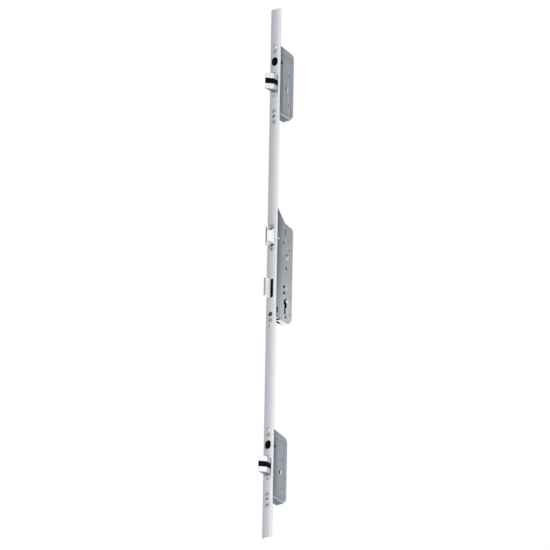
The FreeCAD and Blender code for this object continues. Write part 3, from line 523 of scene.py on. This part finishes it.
def post_zinc(name, rim_front, rim_back, bore, bend, last):
    """Riveted posts: painted highlight and painted shade on a rim in two tones and on the bore within it;
    behind the last ones they look like the plate.
    """
    finish = Finish(name, 0.2)
    cloud = finish.noise(260.0, detail=4.0)
    # painted highlight and shade: the rim's front and back tones, and the bore's tone
    rim = abs(finish.x).ramp(POST_END - 0.1 * MM, POST_END - 0.05 * MM)
    rim_tone = finish.blend(finish.y.ramp(bend, bend + 0.4 * MM), rim_front, rim_back)
    colour = finish.blend(rim, bore, rim_tone)
    colour = finish.blend(finish.y.ramp(last, last + 0.5 * MM), colour, PLATE_GREY)
    colour = finish.blend(cloud * 0.15, colour, linear(140, 145, 152))
    return finish.set(Base_Color=colour, Roughness=0.3 + cloud * 0.15).material


def cast_follower():
    """Zinc casting: its ring looks like the plate; its square hole has a painted highlight on its walls and
    painted shade on its upper wall, which faces down.
    """
    finish = Finish("cast_follower", 0.0)
    cloud = finish.noise(260.0, detail=4.0)
    ring = abs(finish.x).ramp(CASE_SIDE + 0.1 * MM, CASE_SIDE + 0.2 * MM)
    # painted highlight on the square hole's walls, painted shade on its upper wall, which faces down
    down = (0 - finish.facing("Z")).ramp(0.3, 0.6)
    colour = finish.blend(down, linear(254, 254, 254), linear(96, 101, 108))
    colour = finish.blend(ring, colour, linear(150, 156, 163))
    colour = finish.blend(cloud * 0.1, colour, linear(150, 155, 162))
    return finish.set(Base_Color=colour, Roughness=0.45).material


def plastic(name, light, dark, roughness):
    """Moulded plastic with a fine grain."""
    finish = Finish(name, 0.0, Specular_IOR_Level=0.04)
    grain = finish.noise(1600.0)
    cloud = finish.noise(150.0, detail=2.0)
    finish.set(Base_Color=finish.blend(cloud, light, dark), Roughness=roughness + grain * 0.12)
    return finish.set(Normal=finish.bump(grain, 0.2, 0.03 * MM)).material


def dress(material, *names):
    """Gives pieces of the frame a material."""
    for name in names:
        shape = nodes[name]
        shape.data.materials.clear()
        shape.data.materials.append(material)


def both(*endings):
    """Names of the pieces that the upper and the lower side case both have."""
    return [side + "_" + ending for ending in endings for side in ("upper", "lower")]


dress(satin_rail(), "faceplate_rail")
for unit, bottom in SIDE_CASE_BOTTOMS.items():
    dress(side_tray_zinc("zinc_tray_" + unit, bottom), unit + "_case_tray")
    dress(side_cover_zinc("zinc_cover_" + unit, bottom), unit + "_case_cover")
dress(main_cover_zinc(), "main_case_cover")
dress(main_tray_zinc(), "main_case_tray")
dress(nickel("nickel_latch", LATCH_TIP, linear(122, 127, 135), (240, 241, 242), LATCH_ENTRY,
             notches=latch_notches()), "latch_bolt")
dress(nickel("nickel_deadbolt", DEADBOLT_TIP, linear(172, 177, 183), (252, 252, 252), DEADBOLT_ENTRY),
      "deadbolt")
dress(nickel("nickel_side_bolt", SIDE_BOLT_TIP, linear(232, 233, 235), (236, 237, 239), SIDE_BOLT_ENTRY,
             flank=1.0, underside=1.0), *both("bolt"))
dress(zinc("zinc_screw", linear(246, 247, 248), linear(226, 228, 231), 0.25, sockets=True),
      "faceplate_screws")
dress(zinc("zinc_rivet", linear(214, 217, 220), linear(182, 186, 190), 0.25),
      "key_gear_axle", "drive_rivets", "latch_rivet", "deadbolt_cam_pin", *both("bolt_cam_pin"))
dress(post_zinc("main_post_zinc", SHADE_BLACK, SHADE_BLACK, BRIGHT, bend=0.0, last=2 * MM), "main_case_posts")
dress(post_zinc("side_post_zinc", BRIGHT, SHADE_BLACK, SHADE_BLACK, bend=-6.2 * MM, last=0.0), *both("case_posts"))
dress(zinc("bright_zinc", BRIGHT, linear(226, 228, 230), 0.3), "cover_rivet")
dress(zinc("pin_steel", linear(112, 116, 122), linear(92, 96, 102), 0.4), "window_pins")
dress(zinc("strip_steel", linear(176, 180, 186), linear(140, 145, 152), 0.35),
      "threaded_lugs", "latch_spring_seat", *both("trigger_seat", "lever_pin", "rod"))
dress(zinc("black_steel", linear(30, 31, 34), linear(16, 17, 19), 0.4),
      "latch_tail", "drive_bridge", "key_gear", *both("trigger_lever", "drive_plate", "cam_plate"))
dress(cast_follower(), "follower")
dress(plastic("black_plastic", linear(4, 4, 5), linear(10, 10, 12), 0.45),
      "deadbolt_guide", *both("bolt_insert", "trigger", "trigger_guide", "bolt_guide"))
dress(plastic("grey_plastic", linear(150, 152, 154), linear(128, 130, 132), 0.5), "rod_guide_clips")


def add_piece(name, shape, material, body):
    """Makes an object of a bmesh and lets it ride on a body."""
    mesh = bpy.data.meshes.new(name)
    shape.to_mesh(mesh)
    shape.free()
    mesh.materials.append(material)
    piece = bpy.data.objects.new(name, mesh)
    bpy.context.scene.collection.objects.link(piece)
    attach(piece, body)
    return piece


def add_coil(node, wire, turns):
    """Coil spring in place of a CAD sleeve: it stands on its seat and rides on the lock's frame."""
    low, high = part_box(node)
    middle = (low + high) / 2
    radius = (high.x - low.x) / 2 - wire
    steps = COIL_STEPS * turns
    advance = (high.y - low.y - 2 * wire) / steps
    shape = bmesh.new()
    start = Matrix.Translation((middle.x + radius, low.y + wire, middle.z))
    bmesh.ops.create_circle(shape, segments=WIRE_SIDES, radius=wire, matrix=start)
    bmesh.ops.spin(shape, geom=shape.verts[:] + shape.edges[:], cent=(middle.x, 0, middle.z),
                   axis=(0, 1, 0), dvec=(0, advance, 0), angle=math.tau * turns, steps=steps)
    bmesh.ops.holes_fill(shape, edges=[edge for edge in shape.edges if edge.is_boundary])
    bmesh.ops.recalc_face_normals(shape, faces=shape.faces[:])
    for face in shape.faces:
        face.smooth = len(face.verts) == 4
    piece = add_piece(node + "_coil", shape, spring_wire, "lock_frame")
    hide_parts(node)
    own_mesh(piece)


spring_wire = zinc("spring_wire", linear(150, 152, 156), linear(104, 106, 110), 0.3)
add_coil("latch_spring", wire=0.45 * MM, turns=9)
for side in ("upper", "lower"):
    add_coil(side + "_trigger_spring", wire=0.5 * MM, turns=4)


def pale_floor():
    """Pale floor that the camera and reflections see as plain white."""
    finish = Finish("pale_floor", 0.0, Roughness=0.9)
    cloud = finish.noise(3.0)
    finish.set(Base_Color=finish.blend(cloud, linear(236, 236, 234), linear(228, 228, 227)))
    white = finish.node("ShaderNodeEmission", sockets={"Strength": 1.0})
    shown = Field(finish, finish.shader.outputs[0])
    mixed = finish.node("ShaderNodeMixShader", sockets={0: finish.seen_directly(), 1: shown, 2: white})
    finish.feed(finish.tree.nodes["Material Output"].inputs[0], mixed)
    return finish.material


def make_floor():
    """Plain pale floor, far below the lock, out of the camera's view."""
    shape = bmesh.new()
    bmesh.ops.create_grid(shape, x_segments=1, y_segments=1, size=FLOOR_SIZE / 2)
    bmesh.ops.translate(shape, verts=shape.verts, vec=(0, 0, FLOOR_Z))
    mesh = bpy.data.meshes.new("floor")
    shape.to_mesh(mesh)
    shape.free()
    floor = bpy.data.objects.new("floor", mesh)
    bpy.context.scene.collection.objects.link(floor)
    mesh.materials.append(pale_floor())


def make_world():
    """Soft even light, with white for the camera and for reflections."""
    world = bpy.data.worlds.new("soft_room")
    world.use_nodes = True
    world.node_tree.nodes.clear()
    board = Board(world.node_tree)
    soft = board.node("ShaderNodeBackground", sockets={"Color": (1, 1, 1, 1), "Strength": AMBIENT})
    white = board.node("ShaderNodeBackground", sockets={"Color": (1, 1, 1, 1), "Strength": 1.0})
    mixed = board.node("ShaderNodeMixShader", sockets={0: board.seen_directly(), 1: soft, 2: white})
    board.node("ShaderNodeOutputWorld", sockets={"Surface": mixed}, out=None)
    bpy.context.scene.world = world


def add_lamp(name, place, size, power):
    """Soft square lamp at a place, pointing at the origin."""
    light = bpy.data.lights.new(name, "AREA")
    light.shape = "SQUARE"
    light.size = size
    light.energy = power
    lamp = bpy.data.objects.new(name, light)
    lamp.location = place
    lamp.rotation_euler = (-lamp.location).to_track_quat("-Z", "Y").to_euler()
    bpy.context.scene.collection.objects.link(lamp)


def add_camera():
    """Camera at the photograph's angle; the frame is turned a little, as the photograph is."""
    turn, rise, roll = CAMERA_TURN, CAMERA_RISE, CAMERA_ROLL
    away = Vector((math.sin(turn) * math.cos(rise), -math.cos(turn) * math.cos(rise), math.sin(rise)))
    right = Vector((math.cos(turn), math.sin(turn), 0))
    up = away.cross(right)
    frame_right = right * math.cos(roll) + up * math.sin(roll)
    frame_up = up * math.cos(roll) - right * math.sin(roll)
    middle = FRAME_PIXELS / 2
    aim = -frame_right * (ORIGIN_PIXEL[0] - middle) * PIXEL_SIZE
    aim = aim - frame_up * (middle - ORIGIN_PIXEL[1]) * PIXEL_SIZE
    data = bpy.data.cameras.new("camera")
    data.type = "ORTHO"
    data.ortho_scale = FRAME_PIXELS * PIXEL_SIZE
    data.clip_end = 100.0
    camera = bpy.data.objects.new("camera", data)
    axes = Matrix((frame_right, frame_up, away)).transposed().to_4x4()
    camera.matrix_world = Matrix.Translation(aim + away * CAMERA_DISTANCE) @ axes
    bpy.context.scene.collection.objects.link(camera)
    bpy.context.scene.camera = camera


make_floor()
make_world()
for name, (place, size, power) in LAMPS.items():
    add_lamp(name, place, size, power)
add_camera()
bpy.context.scene.view_settings.view_transform = "Standard"
